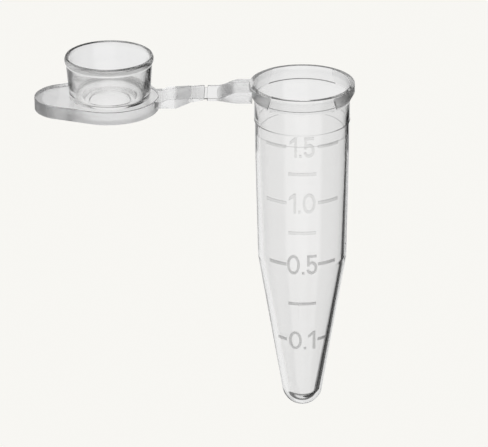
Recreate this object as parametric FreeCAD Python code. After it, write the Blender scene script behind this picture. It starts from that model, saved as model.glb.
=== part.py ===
"""Microcentrifuge tube, 1.5 mL, with its snap lid open on a living hinge.

Millimetres. The origin is on the tube's axis at the foot of the collar, where the tube hangs
in a rack. +Z points up out of the mouth, and the strap and the lid lie along -X. Depths are
measured down from the rim's top face, and level() turns a depth into a height.
"""
import FreeCAD, Part
import math
import os

# Tube: radii and depths below the rim's top face
RIM_R = 6.00
RIM_FACE = 0.30
RIM_FOOT = 0.68
NECK_R = 5.62
NECK_DEPTH = 1.60
MOUTH_R = 5.50
LEAD_IN_DEPTH = 1.50
SEAT_TOP_R = 5.34
SEAT_END_R = 5.12
SEAT_END_DEPTH = 5.80
SEAT_CHAMFER = 2.20
LAND_R = 5.45
LAND_DEPTH = 4.40
COLLAR_FACE = 0.95
COLLAR_FOOT = 2.00
BARREL_TOP_R = 5.38
BARREL_TOP_BORE = 4.90
BARREL_END_R = 5.12
BARREL_END_BORE = 4.60
BARREL_END_DEPTH = 21.20
TUBE_LENGTH = 40.30
TIP_R = 2.36
TIP_BORE = 1.54

# Gaps between the two collar lugs, on the front and the back of the rim
GAP_HALF_TOP = 3.53
GAP_HALF_FOOT = 3.95

# Scale marks, raised from the wall
MARK_RAISE = 0.08
MARK_STROKE = 0.34
NUMERAL_HEIGHT = 2.40
NUMERAL_STROKE = 0.30
DIGIT_WIDTH = {"0": 1.48, "1": 0.84, "5": 1.26}
POINT_GAP = 0.22
LONG_TICK_IN = 1.80
SHORT_TICK_HALF = 1.60

# Strap and living hinge
LID_REACH = 21.90
HINGE_DEPTH = 0.72
HINGE_GAP = 0.30
FILM_THICK = 0.12
STRAP_WIDTH = 4.30
STRAP_TOP = 1.07
STRAP_UNDER = 1.43
ROOT_TOP = 0.35
ROOT_UNDER = 1.75
ROOT_REACH = 7.60
STRAP_REACH = 9.20
LID_STRAP_UNDER = 1.32
LID_STRAP_SLOPE = 0.30
LID_ROOT_TOP = 1.22
LID_ROOT_UNDER = 2.33

# Lid, measured from its own centre and from its sealing face
CLOSING_GAP = 0.04
PLATE_R = 5.60
PLATE_THICK = 1.55
TAB_R = 3.90
TAB_REACH = 4.70
PLUG_HEIGHT = 4.70
PLUG_BASE_R = 4.62
PLUG_BASE_BORE = 4.00
PLUG_LIP_R = 4.97
PLUG_LIP_BORE = 4.52
LIP_HEIGHT = 0.90
RECESS_R = 3.15
RECESS_DEPTH = 0.60
GATE_R = 2.40
GATE_DEPTH = 0.08


def level(depth):
    """Height of a point that lies this far below the rim's top face."""
    return COLLAR_FOOT - depth


def turned(points):
    """Solid of revolution about Z from an outline of (radius, height) corners."""
    corners = [FreeCAD.Vector(r, 0, z) for r, z in points]
    face = Part.Face(Part.makePolygon(corners + corners[:1]))
    return face.revolve(FreeCAD.Vector(), FreeCAD.Vector(0, 0, 1), 360)


def side_profile(points, width):
    """Bar of an (x, height) outline, as wide as stated across Y and centred on it."""
    corners = [FreeCAD.Vector(x, -width / 2, z) for x, z in points]
    face = Part.Face(Part.makePolygon(corners + corners[:1]))
    return face.extrude(FreeCAD.Vector(0, width, 0))


def tangent_on_ball(radius, height, ball_r, ball_z):
    """Point where the line from a wall corner touches the ball that closes the tip."""
    drop = height - ball_z
    reach = math.hypot(radius, drop)
    angle = math.atan2(drop, radius) - math.acos(ball_r / reach)
    return ball_r * math.cos(angle), ball_z + ball_r * math.sin(angle)


TIP_Z = level(TUBE_LENGTH - TIP_R)
CONE_FOOT = tangent_on_ball(BARREL_END_R, level(BARREL_END_DEPTH), TIP_R, TIP_Z)
BORE_FOOT = tangent_on_ball(BARREL_END_BORE, level(BARREL_END_DEPTH), TIP_BORE, TIP_Z)
HINGE_X = -LID_REACH / 2
PLATE_DEPTH = 2 * HINGE_DEPTH + CLOSING_GAP


# ---------------------------------------------------------------- tube

def mouth_rim():
    """Rim ring with a thin outer face, a chamfer under it and the lead-in cone inside."""
    return turned([
        (MOUTH_R, level(0)),
        (RIM_R, level(0)),
        (RIM_R, level(RIM_FACE)),
        (NECK_R, level(RIM_FOOT)),
        (NECK_R, level(LEAD_IN_DEPTH)),
        (SEAT_TOP_R, level(LEAD_IN_DEPTH)),
    ])


def collar_lug(side):
    """Thick stretch of collar under the rim, on the hinge side (-1) or the thumb side (+1)."""
    ring = turned([
        (RIM_R, level(RIM_FACE)),
        (RIM_R, level(COLLAR_FACE)),
        (LAND_R, level(COLLAR_FOOT)),
        (NECK_R, level(NECK_DEPTH)),
        (NECK_R, level(RIM_FOOT)),
    ])
    half = RIM_R + 1
    keep = side_profile([
        (side * GAP_HALF_TOP, level(RIM_FACE)),
        (side * half, level(RIM_FACE)),
        (side * half, level(COLLAR_FOOT)),
        (side * GAP_HALF_FOOT, level(COLLAR_FOOT)),
    ], 2 * half)
    return ring.common(keep)


def seat_wall():
    """Sealing seat for the plug: the neck's foot and a land outside, a slightly tapered bore."""
    chamfer_end = SEAT_END_DEPTH + SEAT_CHAMFER
    return turned([
        (SEAT_TOP_R, level(LEAD_IN_DEPTH)),
        (NECK_R, level(LEAD_IN_DEPTH)),
        (NECK_R, level(NECK_DEPTH)),
        (LAND_R, level(COLLAR_FOOT)),
        (LAND_R, level(LAND_DEPTH)),
        (BARREL_TOP_R, level(LAND_DEPTH + 0.08)),
        (BARREL_TOP_R, level(chamfer_end)),
        (BARREL_TOP_BORE, level(chamfer_end)),
        (SEAT_END_R, level(SEAT_END_DEPTH)),
    ])


def barrel_wall():
    """Slightly tapered barrel between the seat and the cone."""
    top = level(SEAT_END_DEPTH + SEAT_CHAMFER)
    foot = level(BARREL_END_DEPTH)
    return turned([
        (BARREL_TOP_BORE, top),
        (BARREL_TOP_R, top),
        (BARREL_END_R, foot),
        (BARREL_END_BORE, foot),
    ])


def cone_wall():
    """Conical wall that narrows to the tip."""
    foot = level(BARREL_END_DEPTH)
    return turned([
        (BARREL_END_BORE, foot),
        (BARREL_END_R, foot),
        CONE_FOOT,
        BORE_FOOT,
    ])


def arc(centre_z, radius, start, end):
    """Arc of a circle centred on the axis, from one (radius, height) point to another."""
    a = math.atan2(start[1] - centre_z, start[0])
    b = math.atan2(end[1] - centre_z, end[0])
    middle = (a + b) / 2
    over = FreeCAD.Vector(radius * math.cos(middle), 0, centre_z + radius * math.sin(middle))
    first = FreeCAD.Vector(start[0], 0, start[1])
    last = FreeCAD.Vector(end[0], 0, end[1])
    return Part.Arc(first, over, last).toShape()


def line(start, end):
    """Straight edge between two (radius, height) points."""
    return Part.makeLine(FreeCAD.Vector(start[0], 0, start[1]), FreeCAD.Vector(end[0], 0, end[1]))


def round_tip():
    """Rounded closed tip, a ball outside and a smaller ball inside."""
    outer_pole = (0, TIP_Z - TIP_R)
    inner_pole = (0, TIP_Z - TIP_BORE)
    edges = [
        line(BORE_FOOT, CONE_FOOT),
        arc(TIP_Z, TIP_R, CONE_FOOT, outer_pole),
        line(outer_pole, inner_pole),
        arc(TIP_Z, TIP_BORE, inner_pole, BORE_FOOT),
    ]
    face = Part.Face(Part.Wire(edges))
    return face.revolve(FreeCAD.Vector(), FreeCAD.Vector(0, 0, 1), 360)


# ---------------------------------------------------------------- scale marks

def skin():
    """Thin layer over the barrel and the cone, as thick as the marks stand out."""
    foot = level(BARREL_END_DEPTH)
    slope = (LAND_R - BARREL_END_R) / (BARREL_END_DEPTH - LAND_DEPTH)
    cone_slope = (BARREL_END_R - CONE_FOOT[0]) / (foot - CONE_FOOT[1])
    step = MARK_RAISE * math.hypot(1, slope)
    cone_step = MARK_RAISE * math.hypot(1, cone_slope)
    top = level(SEAT_END_DEPTH + SEAT_CHAMFER)
    above = level(LAND_DEPTH + 0.1)
    return turned([
        (BARREL_TOP_R, above),
        (BARREL_TOP_R + step, above),
        (BARREL_TOP_R + step, top),
        (BARREL_END_R + (step + cone_step) / 2, foot),
        (CONE_FOOT[0] + cone_step, CONE_FOOT[1]),
        CONE_FOOT,
        (BARREL_END_R, foot),
        (BARREL_TOP_R, top),
    ])


def bar(x_low, x_high, z_low, z_high):
    """Flat bar that runs from the axis forwards through the front wall."""
    return Part.makeBox(x_high - x_low, RIM_R + 1, z_high - z_low,
                        FreeCAD.Vector(x_low, -RIM_R - 1, z_low))


def ellipse_prism(x, z, half_width, half_height):
    """Prism of an ellipse seen from the front."""
    centre = FreeCAD.Vector(x, -RIM_R - 1, z)
    across = FreeCAD.Vector(x + half_width, -RIM_R - 1, z)
    up = FreeCAD.Vector(x, -RIM_R - 1, z + half_height)
    if half_height >= half_width:
        curve = Part.Ellipse(up, across, centre)
    else:
        curve = Part.Ellipse(across, up, centre)
    return Part.Face(Part.Wire(curve.toShape())).extrude(FreeCAD.Vector(0, RIM_R + 1, 0))


def digit_zero(x, z):
    """Zero: an upright ring."""
    half_height = NUMERAL_HEIGHT / 2
    half_width = DIGIT_WIDTH["0"] / 2
    ring = ellipse_prism(x, z, half_width, half_height)
    return ring.cut(ellipse_prism(x, z, half_width - NUMERAL_STROKE, half_height - NUMERAL_STROKE))


def digit_one(x, z):
    """One: a stem with a slanting flag."""
    half = NUMERAL_HEIGHT / 2
    right = x + DIGIT_WIDTH["1"] / 2
    left = right - NUMERAL_STROKE
    tip = x - DIGIT_WIDTH["1"] / 2
    stem = bar(left, right, z - half, z + half)
    flag = [
        (left, z + half - 0.06),
        (left, z + half - 0.46),
        (tip, z + half - 0.86),
        (tip, z + half - 0.54),
    ]
    corners = [FreeCAD.Vector(a, -RIM_R - 1, b) for a, b in flag]
    face = Part.Face(Part.makePolygon(corners + corners[:1]))
    return stem.fuse(face.extrude(FreeCAD.Vector(0, RIM_R + 1, 0)))


def digit_five(x, z):
    """Five: a top bar, a short stem and an open bowl."""
    half = NUMERAL_HEIGHT / 2
    bowl_r = 0.80
    bowl_z = z - half + bowl_r
    bowl_half = DIGIT_WIDTH["5"] / 2
    stem_left = x - bowl_half + 0.08
    bowl = ellipse_prism(x, bowl_z, bowl_half, bowl_r)
    bowl = bowl.cut(ellipse_prism(x, bowl_z, bowl_half - NUMERAL_STROKE, bowl_r - NUMERAL_STROKE))
    mouth = bar(x - bowl_half - 0.1, x - 0.12, bowl_z - 0.22, bowl_z + 0.34)
    stem = bar(stem_left, stem_left + NUMERAL_STROKE, bowl_z + 0.22, z + half)
    top = bar(stem_left, x + bowl_half - 0.08, z + half - NUMERAL_STROKE, z + half)
    return bowl.cut(mouth).fuse([stem, top])


def decimal_point(x, z):
    """Decimal point: a small square dot on the base line."""
    half = NUMERAL_STROKE / 2
    foot = z - NUMERAL_HEIGHT / 2
    return bar(x - half, x + half, foot, foot + NUMERAL_STROKE)


DIGITS = {"0": digit_zero, "1": digit_one, "5": digit_five}


def numeral(text, depth, layer):
    """Raised numeral such as 0.5, centred on the front of the wall."""
    z = level(depth)
    first, second = text[0], text[2]
    point_cell = NUMERAL_STROKE + 2 * POINT_GAP
    left = -(DIGIT_WIDTH[first] + point_cell + DIGIT_WIDTH[second]) / 2
    point_x = left + DIGIT_WIDTH[first] + point_cell / 2
    pieces = [
        DIGITS[first](left + DIGIT_WIDTH[first] / 2, z),
        decimal_point(point_x, z),
        DIGITS[second](-left - DIGIT_WIDTH[second] / 2, z),
    ]
    cut = [piece.common(layer) for piece in pieces]
    return Part.makeCompound([solid for piece in cut for solid in piece.Solids])


def long_ticks(depth, reach, layer):
    """The two raised lines that flank a numeral."""
    z = level(depth)
    half = MARK_STROKE / 2
    inner = min(LONG_TICK_IN, reach - 0.9)
    sides = [bar(-reach, -inner, z - half, z + half), bar(inner, reach, z - half, z + half)]
    solids = [solid for side in sides for solid in side.common(layer).Solids]
    return Part.makeCompound(solids)


def short_tick(depth, layer):
    """The raised line between two numerals."""
    z = level(depth)
    half = MARK_STROKE / 2
    return bar(-SHORT_TICK_HALF, SHORT_TICK_HALF, z - half, z + half).common(layer)


# Scale marks: the depth of each, and how far a numeral's long ticks reach to the sides
NUMERALS = [("1.5", 5.80, 4.10), ("1.0", 12.70, 4.05), ("0.5", 20.40, 3.75), ("0.1", 30.65, 2.75)]
SHORT_TICKS = [("1_25", 9.10), ("0_75", 16.40), ("0_25", 25.62)]


# ---------------------------------------------------------------- strap and hinge

def tube_strap_root():
    """Thick stretch of strap that grows out of the collar, with a slope down to the thin part."""
    bar_of_root = side_profile([
        (-LAND_R, level(ROOT_TOP)),
        (-ROOT_REACH, level(ROOT_TOP)),
        (-STRAP_REACH, level(STRAP_TOP)),
        (-STRAP_REACH, level(STRAP_UNDER)),
        (-ROOT_REACH, level(ROOT_UNDER)),
        (-LAND_R, level(ROOT_UNDER)),
    ], STRAP_WIDTH)
    tube = turned([
        (0, level(0)),
        (RIM_R, level(0)),
        (RIM_R, level(COLLAR_FACE)),
        (LAND_R, level(COLLAR_FOOT)),
        (0, level(COLLAR_FOOT)),
    ])
    return bar_of_root.cut(tube)


def rounded_end(shape, x_end, width):
    """Rounds the two upright corners of a strap at its hinge end."""
    edges = []
    for edge in shape.Edges:
        box = edge.BoundBox
        upright = box.ZLength > 0.2 and box.XLength < 0.01 and box.YLength < 0.01
        if upright and abs(box.XMin - x_end) < 0.01 and abs(abs(box.YMin) - width / 2) < 0.01:
            edges.append(edge)
    return shape.makeFillet(0.25, edges)


def tube_strap():
    """Thin stretch of strap on the tube's side of the hinge."""
    end = HINGE_X + HINGE_GAP / 2
    strap = side_profile([
        (-STRAP_REACH, level(STRAP_TOP)),
        (end, level(STRAP_TOP)),
        (end, level(STRAP_UNDER)),
        (-STRAP_REACH, level(STRAP_UNDER)),
    ], STRAP_WIDTH)
    return rounded_end(strap, end, STRAP_WIDTH)


def film_hinge():
    """Living hinge: a thin web that reaches out of the tube's strap to the fold line."""
    width = STRAP_WIDTH - 0.6
    middle = (STRAP_TOP + STRAP_UNDER) / 2
    return Part.makeBox(HINGE_GAP / 2, width, FILM_THICK,
                        FreeCAD.Vector(HINGE_X, -width / 2, level(middle + FILM_THICK / 2)))


def lid_strap():
    """Stretch of strap on the lid's side: level on top, growing thicker underneath."""
    end = HINGE_X - HINGE_GAP / 2
    thin = STRAP_REACH - LID_REACH
    thick = ROOT_REACH - LID_REACH
    strap = side_profile([
        (end, level(STRAP_TOP)),
        (thick, level(LID_ROOT_TOP)),
        (thick, level(LID_ROOT_UNDER)),
        (thin, level(LID_STRAP_UNDER + LID_STRAP_SLOPE)),
        (end, level(LID_STRAP_UNDER)),
    ], STRAP_WIDTH)
    return rounded_end(strap, end, STRAP_WIDTH)


def lid_outline(radius):
    """Disc that the round part of the lid is cut from, as a tall cylinder."""
    return Part.makeCylinder(radius, 20, FreeCAD.Vector(-LID_REACH, 0, level(10)))


def lid_strap_root():
    """Thick stretch of strap that runs into the lid's plate."""
    start = ROOT_REACH - LID_REACH
    slope_end = -LID_REACH + RIM_R + 0.05
    root = side_profile([
        (start, level(LID_ROOT_TOP)),
        (slope_end + 0.65, level(LID_ROOT_TOP)),
        (slope_end, level(PLATE_DEPTH)),
        (-LID_REACH + 4, level(PLATE_DEPTH)),
        (-LID_REACH + 4, level(LID_ROOT_UNDER)),
        (start, level(LID_ROOT_UNDER)),
    ], STRAP_WIDTH)
    return root.cut(lid_outline(PLATE_R))


# ---------------------------------------------------------------- lid

def lid_turned(points):
    """Solid of revolution about the lid's own centre line."""
    shape = turned(points)
    shape.translate(FreeCAD.Vector(-LID_REACH, 0, 0))
    return shape


def lid_plate():
    """Round plate of the lid, outside the shallow recess in its middle."""
    return lid_turned([
        (RECESS_R, level(PLATE_DEPTH)),
        (PLATE_R, level(PLATE_DEPTH)),
        (PLATE_R, level(PLATE_DEPTH + PLATE_THICK)),
        (RECESS_R, level(PLATE_DEPTH + PLATE_THICK)),
    ])


def centre_disc():
    """Thin middle of the plate, under the recess, with the shallow gate circle in it."""
    floor = level(PLATE_DEPTH + RECESS_DEPTH)
    under = level(PLATE_DEPTH + PLATE_THICK)
    return lid_turned([
        (0, floor - GATE_DEPTH),
        (GATE_R - GATE_DEPTH, floor - GATE_DEPTH),
        (GATE_R, floor),
        (RECESS_R, floor),
        (RECESS_R, under),
        (0, under),
    ])


def thumb_tab():
    """Tongue of the plate that a thumb lifts, its sides tangent to the plate's edge."""
    lean = math.acos((PLATE_R - TAB_R) / TAB_REACH)
    top = level(PLATE_DEPTH)
    tip_x = -LID_REACH - TAB_REACH
    corners = []
    for side in (1, -1):
        corners.append((-LID_REACH - PLATE_R * math.cos(lean), side * PLATE_R * math.sin(lean)))
        corners.append((tip_x - TAB_R * math.cos(lean), side * TAB_R * math.sin(lean)))
    root_a, tip_a, root_b, tip_b = [FreeCAD.Vector(x, y, top) for x, y in corners]
    nose = FreeCAD.Vector(tip_x - TAB_R, 0, top)
    edges = [
        Part.makeLine(root_b, root_a),
        Part.makeLine(root_a, tip_a),
        Part.Arc(tip_a, nose, tip_b).toShape(),
        Part.makeLine(tip_b, root_b),
    ]
    face = Part.Face(Part.Wire(edges))
    tongue = face.extrude(FreeCAD.Vector(0, 0, -PLATE_THICK))
    return tongue.cut(lid_outline(PLATE_R))


def plug_radius(height, base, lip):
    """Radius of the flaring plug wall at a height above the sealing face."""
    return base + (lip - base) * height / (PLUG_HEIGHT - LIP_HEIGHT / 2)


def plug_skirt():
    """Thin wall of the plug, which flares towards its free end."""
    foot = level(PLATE_DEPTH)
    top = PLUG_HEIGHT - LIP_HEIGHT
    return lid_turned([
        (PLUG_BASE_BORE, foot),
        (PLUG_BASE_R, foot),
        (plug_radius(top, PLUG_BASE_R, PLUG_LIP_R), foot + top),
        (plug_radius(top, PLUG_BASE_BORE, PLUG_LIP_BORE), foot + top),
    ])


def sealing_lip():
    """Free end of the plug: widest half way up, then rounded in to start in the mouth."""
    foot = level(PLATE_DEPTH)
    low = PLUG_HEIGHT - LIP_HEIGHT
    middle = foot + PLUG_HEIGHT - LIP_HEIGHT / 2
    top = foot + PLUG_HEIGHT
    return lid_turned([
        (plug_radius(low, PLUG_BASE_BORE, PLUG_LIP_BORE), foot + low),
        (plug_radius(low, PLUG_BASE_R, PLUG_LIP_R), foot + low),
        (PLUG_LIP_R, middle),
        (PLUG_LIP_R - 0.02, middle + 0.18),
        (PLUG_LIP_R - 0.09, middle + 0.35),
        (PLUG_LIP_R - 0.20, top),
        (PLUG_LIP_BORE + 0.04, top),
        (PLUG_LIP_BORE, middle + 0.35),
        (PLUG_LIP_BORE, middle),
    ])


def model():
    """Every sub-part, by node name."""
    layer = skin()
    parts = {
        "mouth_rim": mouth_rim(),
        "hinge_side_collar_lug": collar_lug(-1),
        "thumb_side_collar_lug": collar_lug(1),
        "seat_wall": seat_wall(),
        "barrel_wall": barrel_wall(),
        "cone_wall": cone_wall(),
        "round_tip": round_tip(),
        "tube_strap_root": tube_strap_root(),
        "tube_strap": tube_strap(),
        "film_hinge": film_hinge(),
        "lid_strap": lid_strap(),
        "lid_strap_root": lid_strap_root(),
        "lid_plate": lid_plate(),
        "lid_centre_disc": centre_disc(),
        "thumb_tab": thumb_tab(),
        "plug_skirt": plug_skirt(),
        "plug_sealing_lip": sealing_lip(),
    }
    for text, depth, reach in NUMERALS:
        name = text.replace(".", "_")
        parts["numeral_" + name] = numeral(text, depth, layer)
        parts["scale_line_" + name] = long_ticks(depth, reach, layer)
    for name, depth in SHORT_TICKS:
        parts["scale_line_" + name] = short_tick(depth, layer)
    return parts


os.makedirs("parts", exist_ok=True)
for node, shape in model().items():
    shape.exportStep("parts/" + node + ".step")
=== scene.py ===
import math
import bpy
from mathutils import Matrix, Vector


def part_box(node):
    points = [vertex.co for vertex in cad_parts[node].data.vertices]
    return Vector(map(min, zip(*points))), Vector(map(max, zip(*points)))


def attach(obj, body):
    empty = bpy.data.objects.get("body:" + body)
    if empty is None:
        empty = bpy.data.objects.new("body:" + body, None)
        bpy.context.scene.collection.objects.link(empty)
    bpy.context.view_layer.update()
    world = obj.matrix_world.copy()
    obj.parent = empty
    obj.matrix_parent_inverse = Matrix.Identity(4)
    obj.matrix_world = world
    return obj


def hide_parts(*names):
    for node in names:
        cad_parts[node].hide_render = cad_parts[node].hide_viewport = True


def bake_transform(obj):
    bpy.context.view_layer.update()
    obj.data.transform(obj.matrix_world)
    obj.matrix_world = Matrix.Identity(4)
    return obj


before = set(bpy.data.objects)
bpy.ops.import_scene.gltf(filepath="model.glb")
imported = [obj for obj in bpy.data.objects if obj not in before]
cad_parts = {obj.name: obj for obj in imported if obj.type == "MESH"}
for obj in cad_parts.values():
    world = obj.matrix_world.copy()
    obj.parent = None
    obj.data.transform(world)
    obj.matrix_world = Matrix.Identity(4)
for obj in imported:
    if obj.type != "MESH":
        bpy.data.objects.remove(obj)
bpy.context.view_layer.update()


# ---------------------------------------------------------------- tube wall
# One injection moulding in clear natural polypropylene. The core pin leaves a lead-in cone, a
# smooth sealing seat and a slightly tapered bore; the cavity leaves a rim with a thin face, a
# barrel that narrows by a degree, a ten-degree cone and a ball at the tip.

FACETS = 180
MM = 0.001
rim_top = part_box("mouth_rim")[1].z
rim_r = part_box("mouth_rim")[1].x
mouth_r = 5.50 * MM
seat_top_r = 5.30 * MM
seat_foot_r = 5.08 * MM
land_r = 5.45 * MM
land_ridge_r = land_r + 0.04 * MM
barrel_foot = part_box("barrel_wall")[0].z
barrel_foot_r = 5.12 * MM
barrel_foot_bore = 4.60 * MM
tip_r = 2.36 * MM
tip_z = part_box("round_tip")[0].z + tip_r
tip_bore = 1.70 * MM
tip_bore_z = tip_z + 0.16 * MM
MARK_CLEARANCE = 0.006 * MM
barrel_top_r = 5.38 * MM - MARK_CLEARANCE
POLE = math.radians(-88)


def deselect():
    """Leaves nothing selected and nothing being edited."""
    if bpy.context.object and bpy.context.object.mode != "OBJECT":
        bpy.ops.object.mode_set(mode="OBJECT")
    bpy.ops.object.select_all(action="DESELECT")


def named(piece, name):
    """Gives a piece and its mesh their name."""
    piece.name = name
    piece.data.name = name
    return piece


def rounded(corners, steps=4):
    """Outline with its corners rounded: each corner is (radius, height, fillet), in metres."""
    points = []
    for i, (r, z, fillet) in enumerate(corners):
        here = Vector((r, z))
        if fillet == 0 or i in (0, len(corners) - 1):
            points.append((r, z))
            continue
        back = Vector(corners[i - 1][:2]) - here
        ahead = Vector(corners[i + 1][:2]) - here
        half = back.angle(ahead) / 2
        reach = min(fillet / math.tan(half), back.length * 0.48, ahead.length * 0.48)
        start = here + back.normalized() * reach
        end = here + ahead.normalized() * reach
        for k in range(steps + 1):
            t = k / steps
            point = start * (1 - t) ** 2 + here * 2 * t * (1 - t) + end * t ** 2
            points.append((point.x, point.y))
    return points


def ball(centre_z, radius, start_angle, end_angle, steps):
    """Rings of a ball on the axis between two angles above the horizontal."""
    rings = []
    for k in range(steps + 1):
        angle = start_angle + (end_angle - start_angle) * k / steps
        rings.append((radius * math.cos(angle), centre_z + radius * math.sin(angle)))
    return rings


def turned(name, outline, centre_x=0.0, closed_ring=False):
    """Turned solid: a disc or a ring, extruded and scaled from one ring of the outline to the next."""
    deselect()
    radius, height = outline[0]
    bpy.ops.mesh.primitive_circle_add(
        vertices=FACETS, radius=radius, location=(centre_x, 0, height),
        fill_type="NOTHING" if closed_ring else "TRIFAN")
    piece = named(bpy.context.object, name)
    bpy.ops.object.transform_apply(location=True, rotation=True, scale=True)
    bpy.ops.object.mode_set(mode="EDIT")
    bpy.ops.mesh.select_all(action="SELECT")
    for next_radius, next_height in outline[1:]:
        if closed_ring:
            bpy.ops.mesh.extrude_edges_move(
                TRANSFORM_OT_translate={"value": (0, 0, next_height - height)})
        else:
            bpy.ops.mesh.extrude_region_move(
                TRANSFORM_OT_translate={"value": (0, 0, next_height - height)})
        scale = next_radius / radius
        bpy.ops.transform.resize(value=(scale, scale, 1), center_override=(centre_x, 0, next_height))
        radius, height = next_radius, next_height
    if closed_ring:
        bpy.ops.mesh.select_all(action="DESELECT")
        bpy.ops.mesh.select_mode(type="EDGE")
        bpy.ops.mesh.select_non_manifold()
        bpy.ops.mesh.bridge_edge_loops()
    bpy.ops.mesh.select_all(action="SELECT")
    bpy.ops.mesh.remove_doubles(threshold=1e-7)
    bpy.ops.mesh.normals_make_consistent(inside=False)
    bpy.ops.object.mode_set(mode="OBJECT")
    return piece


def touch_angle(radius, height, ball_r, ball_z):
    """Angle on the tip's ball where the straight cone wall runs into it."""
    drop = height - ball_z
    return math.atan2(drop, radius) - math.acos(ball_r / math.hypot(radius, drop))


def down(depth):
    """Height of a point that lies this many millimetres below the rim."""
    return rim_top - depth * MM


bore_angle = touch_angle(barrel_foot_bore, barrel_foot, tip_bore, tip_bore_z)
wall_angle = touch_angle(barrel_foot_r, barrel_foot, tip_r, tip_z)

bore_and_wall = rounded([
    (tip_bore * math.cos(bore_angle), tip_bore_z + tip_bore * math.sin(bore_angle), 0),
    (barrel_foot_bore, barrel_foot, 3 * MM),
    (seat_foot_r, down(5.85), 0.02 * MM),
    (seat_foot_r + 0.025 * MM, down(5.82), 0.02 * MM),
    (seat_top_r, down(1.56), 0.03 * MM),
    (seat_top_r + 0.12 * MM, down(1.49), 0.03 * MM),
    (mouth_r, rim_top, 0.05 * MM),
    (rim_r, rim_top, 0.05 * MM),
    (rim_r, down(0.95), 0.07 * MM),
    (land_r, down(2.00), 0.10 * MM),
    (land_r, down(4.32), 0.02 * MM),
    (land_ridge_r, down(4.38), 0.02 * MM),
    (barrel_top_r, down(4.48), 0.03 * MM),
    (barrel_top_r, down(8.00), 4 * MM),
    (barrel_foot_r - MARK_CLEARANCE, barrel_foot, 2 * MM),
    (tip_r * math.cos(wall_angle), tip_z + tip_r * math.sin(wall_angle), 0),
])
bore_tip = ball(tip_bore_z, tip_bore, POLE, bore_angle, 12)[:-1]
wall_tip = ball(tip_z, tip_r, wall_angle, POLE, 14)[1:]
tube_shell = turned("tube_shell", bore_tip + bore_and_wall + wall_tip)


# ---------------------------------------------------------------- collar gaps
# The collar of the moulding is relieved on the front and the back, so that only a thin rim is left
# between two thick lugs of the same plastic. The relief is cut here as a ring of waste, kept only
# within a wedge that spreads downwards.

gap_r = 5.62 * MM
gap_foot = 2.03
gap_half_top = 3.41 * MM
gap_half_foot = 3.97 * MM


def use_boolean(piece, tool, operation):
    """Joins, cuts or keeps the common part of two solids, and throws the tool away."""
    deselect()
    bpy.context.view_layer.objects.active = piece
    piece.select_set(True)
    change = piece.modifiers.new("shape", "BOOLEAN")
    change.operation = operation
    change.object = tool
    change.solver = "EXACT"
    bpy.ops.object.modifier_apply(modifier="shape")
    bpy.data.objects.remove(tool)
    return piece


relief = turned("relief", [
    (gap_r, down(0.68)),
    (6.40 * MM, down(-0.10)),
    (6.40 * MM, down(gap_foot)),
    (5.445 * MM, down(gap_foot)),
    (gap_r, down(1.00)),
], closed_ring=True)
deselect()
wedge_middle = down(1.15)
bpy.ops.mesh.primitive_cube_add(size=1, location=(0, 0, wedge_middle), scale=(7 * MM, 20 * MM, 1.75 * MM))
wedge = bpy.context.object
bpy.ops.object.transform_apply(location=True, rotation=True, scale=True)
for corner in wedge.data.vertices:
    at_foot = corner.co.z < wedge_middle
    corner.co.z = down(2.1) if at_foot else down(-0.2)
    corner.co.x = math.copysign(gap_half_foot if at_foot else gap_half_top, corner.co.x)
use_boolean(relief, wedge, "INTERSECT")
use_boolean(tube_shell, relief, "DIFFERENCE")


# ---------------------------------------------------------------- tube's half of the strap
# A thick root grows out of the hinge-side lug, in the same shot of plastic, and slopes down to a
# thin flexible strap, which ends at the fold line with rounded corners.

root_low, root_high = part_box("tube_strap_root")
thin_low, thin_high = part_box("tube_strap")
STRAP_CORNER = 0.25 * MM
STRAP_EDGE = 0.05 * MM


def stepped_bar(name, stations, half_width, end_corner):
    """Bar along X, extruded from one (x, top, under) station to the next, rounded at its last end."""
    deselect()
    x, top, under = stations[0]
    bpy.ops.mesh.primitive_plane_add(size=1, location=(0, 0, 0), rotation=(0, math.pi / 2, 0))
    piece = named(bpy.context.object, name)
    bpy.ops.object.transform_apply(location=True, rotation=True, scale=True)
    bpy.ops.object.mode_set(mode="EDIT")
    bpy.ops.mesh.select_all(action="SELECT")
    bpy.ops.transform.resize(value=(1, 2 * half_width, top - under), center_override=(0, 0, 0))
    bpy.ops.transform.translate(value=(x, 0, (top + under) / 2))
    for next_x, next_top, next_under in stations[1:]:
        middle = (next_top + next_under) / 2
        bpy.ops.mesh.extrude_region_move(
            TRANSFORM_OT_translate={"value": (next_x - x, 0, middle - (top + under) / 2)})
        bpy.ops.transform.resize(value=(1, 1, (next_top - next_under) / (top - under)),
                                 center_override=(next_x, 0, middle))
        x, top, under = next_x, next_top, next_under
    bpy.ops.mesh.select_all(action="DESELECT")
    bpy.ops.object.mode_set(mode="OBJECT")
    for edge in piece.data.edges:
        a, b = (piece.data.vertices[i].co for i in edge.vertices)
        edge.select = abs(a.x - x) < 1e-6 and abs(b.x - x) < 1e-6 and abs(a.y - b.y) < 1e-7
    bpy.ops.object.mode_set(mode="EDIT")
    bpy.ops.mesh.select_mode(type="EDGE")
    bpy.ops.mesh.bevel(offset=end_corner, segments=5, affect="EDGES")
    bpy.ops.mesh.select_all(action="SELECT")
    bpy.ops.mesh.normals_make_consistent(inside=False)
    bpy.ops.object.mode_set(mode="OBJECT")
    return piece


def soften(piece, width, segments=3, angle=30):
    """Rounds every edge that is sharper than the angle."""
    deselect()
    bpy.context.view_layer.objects.active = piece
    piece.select_set(True)
    edge = piece.modifiers.new("soft_edge", "BEVEL")
    edge.width = width
    edge.segments = segments
    edge.limit_method = "ANGLE"
    edge.angle_limit = math.radians(angle)
    bpy.ops.object.modifier_apply(modifier="soft_edge")
    return piece


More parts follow.
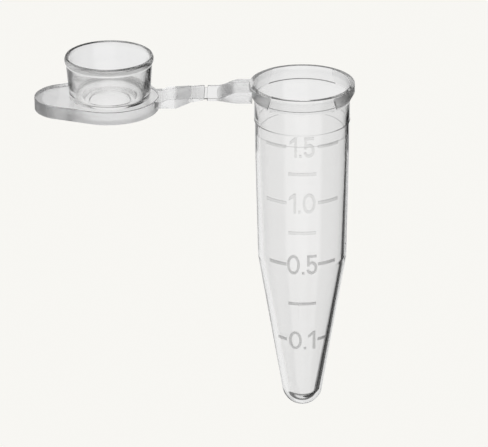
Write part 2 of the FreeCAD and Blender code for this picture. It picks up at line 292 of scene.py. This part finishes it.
tube_strap = stepped_bar("tube_strap_bar", [
    (-5.65 * MM, root_high.z, root_low.z),
    (-7.40 * MM, root_high.z, root_low.z),
    (-7.90 * MM, down(0.50), down(1.70)),
    (-9.00 * MM, down(0.97), down(1.50)),
    (-9.50 * MM, thin_high.z, thin_low.z),
    (thin_low.x, thin_high.z, thin_low.z),
], root_high.y, STRAP_CORNER)
soften(tube_strap, STRAP_EDGE)
use_boolean(tube_shell, tube_strap, "UNION")


def finish_surface(piece, angle=28):
    """Smooth shading that keeps long faces true beside small rounded edges."""
    deselect()
    bpy.context.view_layer.objects.active = piece
    piece.select_set(True)
    bpy.ops.object.shade_smooth_by_angle(angle=math.radians(angle))
    weigh = piece.modifiers.new("true_faces", "WEIGHTED_NORMAL")
    weigh.keep_sharp = True
    weigh.weight = 70
    bpy.ops.object.modifier_apply(modifier="true_faces")


finish_surface(tube_shell)


# ---------------------------------------------------------------- finish of the tube
# Clear natural polypropylene, faintly clouded, with the fine orange-peel skin of a polished mould.
# The lugs and the strap's root are spark-eroded in the mould, so they are matt, and where they are met
# from outside their colour is greyed with painted shade; the thin rim's gaps are rougher and carry a
# little painted shade.

MATT_FADE = 0.05 * MM


def worked_out(tree, operation, first, second=0):
    """One arithmetic node in a node tree; each operand is a socket or a plain number."""
    step = tree.nodes.new("ShaderNodeMath")
    step.operation = operation
    for slot, operand in ((0, first), (1, second)):
        if isinstance(operand, (int, float)):
            step.inputs[slot].default_value = operand
        else:
            tree.links.new(operand, step.inputs[slot])
    return step.outputs["Value"]


def effect(name, inputs, outputs):
    """New shader node group, from the kinds of its named inputs and outputs."""
    tree = bpy.data.node_groups.new(name, "ShaderNodeTree")
    for sockets, direction in ((inputs, "INPUT"), (outputs, "OUTPUT")):
        for label, kind in sockets.items():
            tree.interface.new_socket(label, in_out=direction, socket_type="NodeSocket" + kind)
    return tree, tree.nodes.new("NodeGroupInput").outputs, tree.nodes.new("NodeGroupOutput").inputs


def noise(tree, scale, detail):
    """Noise that is fixed to the piece it lies on."""
    place = tree.nodes.new("ShaderNodeTexCoord")
    texture = tree.nodes.new("ShaderNodeTexNoise")
    texture.inputs["Scale"].default_value = scale
    texture.inputs["Detail"].default_value = detail
    tree.links.new(place.outputs["Object"], texture.inputs["Vector"])
    return texture.outputs["Fac"]


# Skin of the moulding: faint clouding of the resin, and fine orange peel.
moulded_skin, given, shown = effect(
    "moulded_skin", {"Haze": "Float", "Polish": "Float", "Tint": "Color"},
    {"Roughness": "Float", "Color": "Color", "Height": "Float"})
cloud = noise(moulded_skin, 240, 4)
clouding = worked_out(moulded_skin, "MULTIPLY", cloud, given["Haze"])
moulded_skin.links.new(worked_out(moulded_skin, "ADD", clouding, given["Polish"]), shown["Roughness"])
clouded = moulded_skin.nodes.new("ShaderNodeMixRGB")
clouded.blend_type = "MULTIPLY"
clouded.inputs["Color2"].default_value = (0.985, 0.985, 0.98, 1)
moulded_skin.links.new(cloud, clouded.inputs["Fac"])
moulded_skin.links.new(given["Tint"], clouded.inputs["Color1"])
moulded_skin.links.new(clouded.outputs["Color"], shown["Color"])
moulded_skin.links.new(noise(moulded_skin, 700, 2), shown["Height"])

# Matt stretch, which lies between two heights and two radii of an upright axis, outside a middle
# strip and short of a furthest reach. It gives the rougher surface and a mask of the stretch; the
# mask also places painted shade in the materials.
LIMITS = {"Centre": 0, "Low": -1, "High": 1, "Inner": 0, "Outer": 1, "Side": -1, "Reach": 1}
matt_stretch, given, shown = effect(
    "matt_stretch", dict.fromkeys(("Roughness", "Matt", *LIMITS), "Float"),
    {"Roughness": "Float", "Mask": "Float"})
place = matt_stretch.nodes.new("ShaderNodeTexCoord")
split = matt_stretch.nodes.new("ShaderNodeSeparateXYZ")
matt_stretch.links.new(place.outputs["Object"], split.inputs["Vector"])
height = split.outputs["Z"]
along = worked_out(matt_stretch, "SUBTRACT", split.outputs["X"], given["Centre"])
along_squared = worked_out(matt_stretch, "MULTIPLY", along, along)
across_squared = worked_out(matt_stretch, "MULTIPLY", split.outputs["Y"], split.outputs["Y"])
radius = worked_out(matt_stretch, "SQRT", worked_out(matt_stretch, "ADD", along_squared, across_squared))
aside = worked_out(matt_stretch, "ABSOLUTE", along)
mask = 1.0
for value, limit, sign in ((height, "Low", 1), (height, "High", -1), (radius, "Inner", 1),
                           (radius, "Outer", -1), (aside, "Side", 1), (along, "Reach", -1)):
    past = worked_out(matt_stretch, "SUBTRACT", value, given[limit])
    fade = worked_out(matt_stretch, "MULTIPLY", past, sign / MATT_FADE)
    held = matt_stretch.nodes.new("ShaderNodeClamp")
    matt_stretch.links.new(worked_out(matt_stretch, "ADD", fade, 0.5), held.inputs["Value"])
    mask = worked_out(matt_stretch, "MULTIPLY", held.outputs["Result"], mask)
rougher = worked_out(matt_stretch, "MULTIPLY", mask, given["Matt"])
matt_stretch.links.new(worked_out(matt_stretch, "ADD", rougher, given["Roughness"]), shown["Roughness"])
matt_stretch.links.new(mask, shown["Mask"])


def matt_and_shade(roughness, painted_grey, **limits):
    """Matt stretch with painted shade: its roughness, the grey of its painted shade where it is met from
    outside, and where it ends.
    """
    return roughness, painted_grey, {**LIMITS, **{label.title(): limit for label, limit in limits.items()}}


def polypropylene(name, haze, polish, tint, peel, *matt_and_shade_stretches):
    """Clear polypropylene with its skin and any matt stretches, with their painted shade."""
    material = bpy.data.materials.new(name)
    material.use_nodes = True
    tree = material.node_tree
    shader = tree.nodes["Principled BSDF"]
    shader.inputs["Transmission Weight"].default_value = 1.0
    shader.inputs["IOR"].default_value = 1.49
    skin = tree.nodes.new("ShaderNodeGroup")
    skin.node_tree = moulded_skin
    skin.inputs["Haze"].default_value = haze
    skin.inputs["Polish"].default_value = polish
    skin.inputs["Tint"].default_value = (*tint, 1)
    bump = tree.nodes.new("ShaderNodeBump")
    bump.inputs["Distance"].default_value = peel
    bump.inputs["Strength"].default_value = 1.0
    tree.links.new(skin.outputs["Height"], bump.inputs["Height"])
    tree.links.new(bump.outputs["Normal"], shader.inputs["Normal"])
    side_met = tree.nodes.new("ShaderNodeNewGeometry")
    outside = worked_out(tree, "SUBTRACT", 1.0, side_met.outputs["Backfacing"])
    rough = skin.outputs["Roughness"]
    colour = skin.outputs["Color"]
    for roughness, painted_grey, limits in matt_and_shade_stretches:
        stretch = tree.nodes.new("ShaderNodeGroup")
        stretch.node_tree = matt_stretch
        stretch.inputs["Matt"].default_value = roughness
        for label, limit in limits.items():
            stretch.inputs[label].default_value = limit
        tree.links.new(rough, stretch.inputs["Roughness"])
        rough = stretch.outputs["Roughness"]
        # Painted shade: the stretch's grey is mixed into the colour where it is met from outside.
        painted_shade = tree.nodes.new("ShaderNodeMixRGB")
        painted_shade.inputs["Color2"].default_value = (painted_grey, painted_grey, painted_grey, 1)
        tree.links.new(worked_out(tree, "MULTIPLY", stretch.outputs["Mask"], outside), painted_shade.inputs["Fac"])
        tree.links.new(colour, painted_shade.inputs["Color1"])
        colour = painted_shade.outputs["Color"]
    tree.links.new(rough, shader.inputs["Roughness"])
    tree.links.new(colour, shader.inputs["Base Color"])
    return material


CLEAR = (0.988, 0.986, 0.984)
PEEL = 0.0004 * MM
# Painted shade: the lugs greyed to 0.50, the rim's gaps to 0.90 and the strap's root to 0.95 where met from
# outside.
clear_wall = polypropylene(
    "clear_wall", 0.02, 0.0, CLEAR, PEEL,
    matt_and_shade(0.45, 0.50, low=down(gap_foot), high=down(0.08), inner=5.66 * MM, outer=6.10 * MM, side=3.55 * MM),
    matt_and_shade(0.25, 0.90, low=down(1.85), high=down(0.35), inner=5.46 * MM, outer=5.66 * MM),
    matt_and_shade(0.25, 0.95, low=down(3.00), high=down(-1.0), inner=6.20 * MM, outer=9.70 * MM))
tube_shell.data.materials.append(clear_wall)
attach(tube_shell, "tube")
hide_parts("mouth_rim", "hinge_side_collar_lug", "thumb_side_collar_lug", "seat_wall",
            "barrel_wall", "cone_wall", "round_tip", "tube_strap_root", "tube_strap")


# ---------------------------------------------------------------- scale marks
# Raised numerals and lines of the same plastic. They are engraved into the mould's cavity, so they
# stand out of the wall with a slightly matt surface. Their colour is painted shade: light grey all
# over, and darker on the steep cone.

# Painted shade: the marks greyed to 0.89, and to 0.62 on the cone below 17.5 mm.
raised_marks = polypropylene(
    "raised_marks", 0.10, 0.12, (0.89, 0.89, 0.89), 0.0,
    matt_and_shade(0.10, 0.62, low=tip_z, high=down(17.5), outer=10 * MM))
for node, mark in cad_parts.items():
    if node.startswith(("numeral_", "scale_line_")):
        mark.data.materials.clear()
        mark.data.materials.append(raised_marks)


# ---------------------------------------------------------------- lid
# Round plate of the same plastic with a thumb tab, a recess in its middle, and a hollow plug that
# flares to a rounded sealing lip. It is moulded open, with its plug upwards, and its plate, its lip
# and the step of its strap are matt. The step of its strap, the foot of its plug and its lip are also
# greyed with painted shade.

plate_low, plate_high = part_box("lid_plate")
lip_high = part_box("plug_sealing_lip")[1]
lid_x = (plate_low.x + plate_high.x) / 2
plate_r = plate_high.y
plate_top = plate_high.z
plate_under = plate_low.z
tab_r = 3.90 * MM
tab_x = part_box("thumb_tab")[0].x + tab_r
plate_middle = (plate_top + plate_under) / 2
plate_thick = plate_top - plate_under
recess_floor = plate_top - 0.60 * MM
gate_floor = plate_top - 0.68 * MM
plug_foot = plate_top - 0.30 * MM
lip_top = lip_high.z + 0.15 * MM
lip_r = lip_high.y + 0.09 * MM
bead_foot = lip_top - 0.75 * MM

deselect()
bpy.ops.mesh.primitive_cylinder_add(vertices=FACETS, radius=plate_r, depth=plate_thick,
                                    location=(lid_x, 0, plate_middle))
lid_shell = named(bpy.context.object, "lid_shell")
bpy.ops.object.transform_apply(location=True, rotation=True, scale=True)
bpy.ops.object.mode_set(mode="EDIT")
bpy.ops.mesh.primitive_cylinder_add(vertices=FACETS, radius=tab_r, depth=plate_thick,
                                    location=(tab_x, 0, plate_middle))
bpy.ops.mesh.select_all(action="SELECT")
bpy.ops.mesh.convex_hull()
bpy.ops.mesh.select_all(action="SELECT")
bpy.ops.mesh.dissolve_limited(angle_limit=math.radians(0.5))
bpy.ops.mesh.normals_make_consistent(inside=False)
bpy.ops.object.mode_set(mode="OBJECT")
soften(lid_shell, 0.12 * MM, segments=4, angle=50)

recess = turned("recess", rounded([
    (0.05 * MM, gate_floor, 0),
    (2.32 * MM, gate_floor, 0.05 * MM),
    (2.42 * MM, recess_floor, 0.05 * MM),
    (3.00 * MM, recess_floor, 0.25 * MM),
    (3.17 * MM, plate_top - 0.10 * MM, 0.10 * MM),
    (3.25 * MM, plate_top + 0.20 * MM, 0),
]), centre_x=lid_x)
use_boolean(lid_shell, recess, "DIFFERENCE")

plug = turned("plug", rounded([
    (3.60 * MM, plug_foot, 0),
    (3.60 * MM, plate_top + 0.03 * MM, 0.02 * MM),
    (3.96 * MM, plate_top + 0.05 * MM, 0.30 * MM),
    (4.05 * MM, plate_top + 0.80 * MM, 0.30 * MM),
    (4.54 * MM, lip_top - 0.9 * MM, 0.5 * MM),
    (4.61 * MM, lip_top - 0.3 * MM, 0.2 * MM),
    (4.70 * MM, lip_top, 0.12 * MM),
    (lip_r - 0.12 * MM, lip_top, 0.16 * MM),
    (lip_r, lip_top - 0.30 * MM, 0.2 * MM),
    (lip_r - 0.01 * MM, lip_top - 0.62 * MM, 0.2 * MM),
    (4.90 * MM, lip_top - 0.95 * MM, 0.3 * MM),
    (4.62 * MM, plate_top, 0.02 * MM),
    (4.60 * MM, plug_foot, 0),
]), centre_x=lid_x, closed_ring=True)
use_boolean(lid_shell, plug, "UNION")

lid_root_low, lid_root_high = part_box("lid_strap_root")
lid_thin_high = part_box("lid_strap")[1]
lid_strap = stepped_bar("lid_strap_bar", [
    (lid_x + 4.9 * MM, plate_top - 0.06 * MM, lid_root_low.z),
    (lid_x + 6.1 * MM, plate_top - 0.03 * MM, lid_root_low.z),
    (lid_x + 6.6 * MM, lid_root_high.z, lid_root_low.z),
    (lid_x + 7.6 * MM, lid_root_high.z, lid_root_low.z),
    (lid_x + 9.2 * MM, down(1.13), down(1.62)),
    (lid_thin_high.x, lid_thin_high.z, down(1.32)),
], lid_thin_high.y, STRAP_CORNER)
soften(lid_strap, STRAP_EDGE)
use_boolean(lid_shell, lid_strap, "UNION")
finish_surface(lid_shell)

# Painted shade: the strap's step greyed to 0.78, the plug's foot to 0.55, the lip to 0.50, and the plate a
# little.
clear_lid = polypropylene(
    "clear_lid", 0.03, 0.0, CLEAR, PEEL,
    matt_and_shade(0.30, 1.00, centre=lid_x, high=plate_top - 0.045 * MM, inner=3.4 * MM, reach=5.9 * MM),
    matt_and_shade(0.12, 0.98, centre=lid_x, high=plate_top + 1 * MM, outer=7.7 * MM, side=5.9 * MM),
    matt_and_shade(0.30, 0.78, centre=lid_x, high=plate_top + 1 * MM, inner=7.7 * MM, outer=9.3 * MM),
    matt_and_shade(0.20, 0.55, centre=lid_x, low=plate_top + 0.04 * MM, high=plate_top + 0.40 * MM,
         inner=3.5 * MM, outer=4.3 * MM),
    matt_and_shade(0.08, 0.98, centre=lid_x, low=plate_top + 0.45 * MM, high=bead_foot, inner=3.5 * MM),
    matt_and_shade(0.25, 0.50, centre=lid_x, low=bead_foot, inner=4.8 * MM))
lid_shell.data.materials.clear()
lid_shell.data.materials.append(clear_lid)
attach(lid_shell, "lid")
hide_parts("lid_plate", "lid_centre_disc", "thumb_tab", "plug_skirt", "plug_sealing_lip",
            "lid_strap", "lid_strap_root")


# ---------------------------------------------------------------- living hinge
# A film of the same plastic, a tenth of a millimetre thick, joins the two halves of the strap and
# does all the bending. It is moulded with them, and it is narrowest at its middle line.

film_low, film_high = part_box("film_hinge")
fold_start = thin_low.x
fold_end = lid_thin_high.x
fold_x = (fold_start + fold_end) / 2
film_length = fold_start - fold_end - 0.004 * MM
FILM_WAIST = 0.2 * MM
FILM_SAG = 0.02 * MM
deselect()
bpy.ops.mesh.primitive_grid_add(x_subdivisions=14, y_subdivisions=24, size=1, location=(0, 0, 0))
film = named(bpy.context.object, "hinge_film")
film_width = film_high.y - film_low.y
film_z = (film_high.z + film_low.z) / 2
for vertex in film.data.vertices:
    across = vertex.co.x * 2
    vertex.co.x = fold_x + vertex.co.x * film_length
    vertex.co.y = vertex.co.y * (film_width + FILM_WAIST * (abs(across) - 1))
    vertex.co.z = film_z - FILM_SAG * (1 - across ** 2)
thicken = film.modifiers.new("film", "SOLIDIFY")
thicken.thickness = 0.10 * MM
thicken.offset = 0
bpy.context.view_layer.objects.active = film
bpy.ops.object.modifier_apply(modifier="film")
finish_surface(film)
film.data.materials.append(clear_wall)
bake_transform(film)
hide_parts("film_hinge")


# ---------------------------------------------------------------- surroundings and floor
# A plain pale backdrop over pale paper. Only the clear plastic sees the studio round it: a bright
# panel on the camera's side, a black panel on the right, which draws the dark edge lines, and a
# dark band well below the horizon.

PALE = (0.922, 0.913, 0.880, 1)
FLOOR_SIZE = 6
FLOOR_Z = -0.09

world = bpy.data.worlds.new("studio")
bpy.context.scene.world = world
world.use_nodes = True
studio = world.node_tree
studio.nodes.clear()


def studio_levels(angle, lowest, highest, levels):
    """Brightness of the surroundings along one angle, from a list of (degrees, level)."""
    span = studio.nodes.new("ShaderNodeMapRange")
    span.inputs["From Min"].default_value = math.radians(lowest)
    span.inputs["From Max"].default_value = math.radians(highest)
    studio.links.new(angle, span.inputs["Value"])
    ramp = studio.nodes.new("ShaderNodeValToRGB")
    stops = ramp.color_ramp.elements
    stops.remove(stops[-1])
    for i, (degrees, level) in enumerate(levels):
        position = (degrees - lowest) / (highest - lowest)
        stop = stops[0] if i == 0 else stops.new(position)
        stop.position = position
        stop.color = (level, level, level, 1)
    studio.links.new(span.outputs["Result"], ramp.inputs["Fac"])
    return ramp.outputs["Color"]


way = studio.nodes.new("ShaderNodeTexCoord")
split = studio.nodes.new("ShaderNodeSeparateXYZ")
studio.links.new(way.outputs["Generated"], split.inputs["Vector"])
turn = worked_out(studio, "ARCTAN2", split.outputs["X"], split.outputs["Y"])
rise = worked_out(studio, "ARCSINE", split.outputs["Z"])
around = studio_levels(turn, -180, 180, [
    (-180, 1.1), (-166, 1.1), (-160, 0.79), (-95, 0.79), (-44, 0.88), (0, 0.86), (22, 0.84),
    (29, 0.05), (125, 0.05), (136, 1.1), (180, 1.1)])
upward = studio_levels(rise, -90, 90, [
    (-90, 0.85), (-70, 0.85), (-60, 0.15), (-46, 0.15), (-40, 1.0), (90, 1.0)])
both = studio.nodes.new("ShaderNodeMixRGB")
both.blend_type = "MULTIPLY"
both.inputs["Fac"].default_value = 1.0
studio.links.new(around, both.inputs["Color1"])
studio.links.new(upward, both.inputs["Color2"])
glow = studio.nodes.new("ShaderNodeBackground")
studio.links.new(both.outputs["Color"], glow.inputs["Color"])
backdrop = studio.nodes.new("ShaderNodeBackground")
backdrop.inputs["Color"].default_value = PALE
seen = studio.nodes.new("ShaderNodeLightPath")
choice = studio.nodes.new("ShaderNodeMixShader")
studio.links.new(seen.outputs["Is Camera Ray"], choice.inputs["Fac"])
studio.links.new(glow.outputs["Background"], choice.inputs[1])
studio.links.new(backdrop.outputs["Background"], choice.inputs[2])
output = studio.nodes.new("ShaderNodeOutputWorld")
studio.links.new(choice.outputs["Shader"], output.inputs["Surface"])

deselect()
bpy.ops.mesh.primitive_plane_add(size=FLOOR_SIZE, location=(0, 0, FLOOR_Z))
floor = named(bpy.context.object, "floor")
bpy.ops.object.transform_apply(location=True, rotation=True, scale=True)
floor.visible_transmission = False
floor.visible_glossy = False
paper = bpy.data.materials.new("pale_paper")
paper.use_nodes = True
sheet = paper.node_tree.nodes["Principled BSDF"]
sheet.inputs["Base Color"].default_value = (0.02, 0.02, 0.02, 1)
sheet.inputs["Roughness"].default_value = 1.0
sheet.inputs["Specular IOR Level"].default_value = 0.0
sheet.inputs["Emission Color"].default_value = PALE
sheet.inputs["Emission Strength"].default_value = 1.0
floor.data.materials.append(paper)


# ---------------------------------------------------------------- camera
# A long lens 0.4 m away looks down on the open tube from the front and is turned a little towards
# the lid, so that the mouth and the plug show as ovals.

DISTANCE = 0.400
LENS = 259.4
lift = math.radians(20.8)
heading = math.radians(1.03)
tilt = math.radians(23.09)
roll = math.radians(-0.43)
eye = Vector((0, -DISTANCE * math.cos(lift), rim_top + DISTANCE * math.sin(lift)))
bpy.ops.object.camera_add(location=eye)
camera = bpy.context.object
aim = (Matrix.Rotation(heading, 4, "Z")
       @ Matrix.Rotation(math.pi / 2 - tilt, 4, "X")
       @ Matrix.Rotation(roll, 4, "Z"))
camera.rotation_euler = aim.to_euler()
camera.data.lens = LENS
camera.data.sensor_width = 36
camera.data.clip_start = 0.01
bpy.context.scene.camera = camera
bpy.context.scene.view_settings.view_transform = "Standard"
